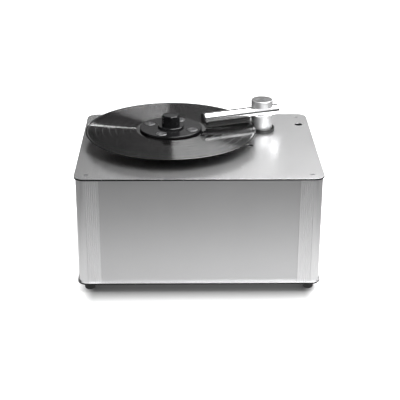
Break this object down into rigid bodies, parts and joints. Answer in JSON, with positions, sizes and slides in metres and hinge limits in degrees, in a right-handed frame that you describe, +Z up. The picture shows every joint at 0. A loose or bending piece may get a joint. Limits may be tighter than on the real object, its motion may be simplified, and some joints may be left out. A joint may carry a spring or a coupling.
{
  "type": "record cleaning machine",
  "caption": "Vacuum record cleaner: metal case with fluted corner posts, clamped record on a driven platter, swinging suction arm, waste tank and drain at the rear.",
  "frame": {"origin": "middle of the bounding box at the surface that the feet stand on", "axes": "+X to the right of the front panel, which faces -Y; +Y to the rear fittings; +Z up. The record stands out past the rear edge, so the case middle is 5.4 mm in front of the origin."},
  "size_m": [0.412, 0.3428, 0.2654],
  "materials": {
    "plate_aluminium": "satin, fine grain",
    "profile_aluminium": "satin extruded",
    "panel_aluminium": "satin",
    "turned_aluminium": "satin turned",
    "tube_aluminium": "bright satin",
    "inlay_aluminium": "satin",
    "wheel_aluminium": "pressed",
    "screw_steel": "plated",
    "bearing_steel": "ground",
    "cast_housing": "as cast",
    "motor_grey": "semi-matt",
    "platter_black": "black anodised",
    "washer_bronze": "plain",
    "pin_brass": "plain",
    "black_rubber": "matt",
    "collar_rubber": "smooth, slightly glossy",
    "hose_rubber": "matt",
    "black_moulding": "moulded",
    "switch_black": "moulded",
    "rocker_black": "moulded, semi-gloss",
    "clamp_black": "turned, semi-gloss",
    "knob_black": "turned and milled, semi-gloss",
    "record_vinyl": "pressed, finely grooved",
    "tank_plastic": "moulded, translucent white",
    "clear_tube": "clear",
    "strip_felt": "velvet pile"
  },
  "bodies": {
    "case": {"top_plate": "plate_aluminium", "bottom_plate": "plate_aluminium", "profile_front_left": "profile_aluminium", "profile_front_right": "profile_aluminium", "profile_rear_left": "profile_aluminium", "profile_rear_right": "profile_aluminium", "front_panel": "panel_aluminium", "rear_panel": "panel_aluminium", "left_panel": "panel_aluminium", "right_panel": "panel_aluminium", "feet": "black_rubber", "corner_screws": "screw_steel", "bearing_housing": "cast_housing", "housing_screws": "screw_steel", "spindle_bearings": "bearing_steel", "shaft_seal": "black_rubber", "motor_bracket": "screw_steel", "drive_motor": "motor_grey", "post_collar": "collar_rubber", "post_guide": "black_moulding", "lift_spring": "bearing_steel", "tank": "tank_plastic", "tank_lid": "black_moulding", "spill_tube": "tank_plastic", "suction_hose": "hose_rubber", "fan_housing": "black_moulding", "fan_cover": "black_moulding", "vacuum_motor": "motor_grey", "vacuum_mount": "black_rubber", "drain_cock": "black_moulding", "level_fittings": "black_moulding", "level_tube": "clear_tube", "mains_inlet": "black_moulding", "inlet_pins": "pin_brass", "rotation_switch": "switch_black", "vacuum_switch": "switch_black", "terminal_block": "tank_plastic"},
    "platter": {"spindle": "bearing_steel", "drive_shaft": "bearing_steel", "platter": "platter_black", "platter_mat": "black_rubber", "record": "record_vinyl"},
    "clamp": {"clamp_disc": "clamp_black", "clamp_seal": "black_rubber", "clamp_inlays": "inlay_aluminium"},
    "clamp_knob": {"clamp_knob": "knob_black", "knob_insert": "pin_brass"},
    "arm_float": {"thrust_washer": "washer_bronze"},
    "arm_swivel": {"swivel_cup": "black_moulding"},
    "arm": {"arm_post": "turned_aluminium", "arm_tube": "tube_aluminium", "arm_cap": "turned_aluminium", "arm_end_plugs": "black_rubber", "strip_carrier": "black_moulding", "felt_strips": "strip_felt", "arm_screw": "screw_steel"},
    "fan_wheel": {"fan_wheel": "wheel_aluminium"},
    "rotation_rocker": {"rotation_rocker": "rocker_black"},
    "vacuum_rocker": {"vacuum_rocker": "rocker_black"},
    "cock_lever": {"cock_lever": "rocker_black"}
  },
  "joints": [
    {"name": "platter_spin", "type": "hinge", "parent": "case", "child": "platter", "pos_m": [-0.048, 0.0206, 0], "axis": [0, 0, 1], "continuous": true},
    {"name": "clamp_turn", "type": "hinge", "parent": "clamp", "child": "clamp_knob", "pos_m": [-0.048, 0.0206, 0], "axis": [0, 0, 1], "range_deg": [0, 2881]},
    {"name": "clamp_rise", "type": "slide", "parent": "platter", "child": "clamp", "axis": [0, 0, 1], "range_m": [0, 0.008]},
    {"name": "arm_float", "type": "slide", "parent": "case", "child": "arm_float", "axis": [0, 0, 1], "range_m": [-0.0024, 0], "stiffness_N_per_m": 2500, "springref_m": 0.003, "deforming": ["lift_spring"]},
    {"name": "arm_swing", "type": "hinge", "parent": "arm_float", "child": "arm_swivel", "pos_m": [0.1165, 0.0691, 0], "axis": [0, 0, 1], "continuous": true},
    {"name": "arm_lift", "type": "slide", "parent": "arm_swivel", "child": "arm", "axis": [0, 0, 1], "range_m": [0, 0.04]},
    {"name": "fan_spin", "type": "hinge", "parent": "case", "child": "fan_wheel", "pos_m": [-0.1319, 0.0785, 0], "axis": [0, 0, 1], "continuous": true},
    {"name": "rotation_switch_tilt", "type": "hinge", "parent": "case", "child": "rotation_rocker", "pos_m": [0.1994, -0.0934, 0.171], "axis": [0, 0, 1], "range_deg": [-12, 12]},
    {"name": "vacuum_switch_tilt", "type": "hinge", "parent": "case", "child": "vacuum_rocker", "pos_m": [0.1994, -0.0594, 0.171], "axis": [0, 0, 1], "range_deg": [-24, 0]},
    {"name": "cock_turn", "type": "hinge", "parent": "case", "child": "cock_lever", "pos_m": [0.0839, 0.1635, 0.04], "axis": [0, 0, 1], "range_deg": [0, 90]}
  ],
  "couplings": [
    {"joint": "clamp_turn", "follows": "clamp_rise", "rad_per_m": 6283.2}
  ]
}
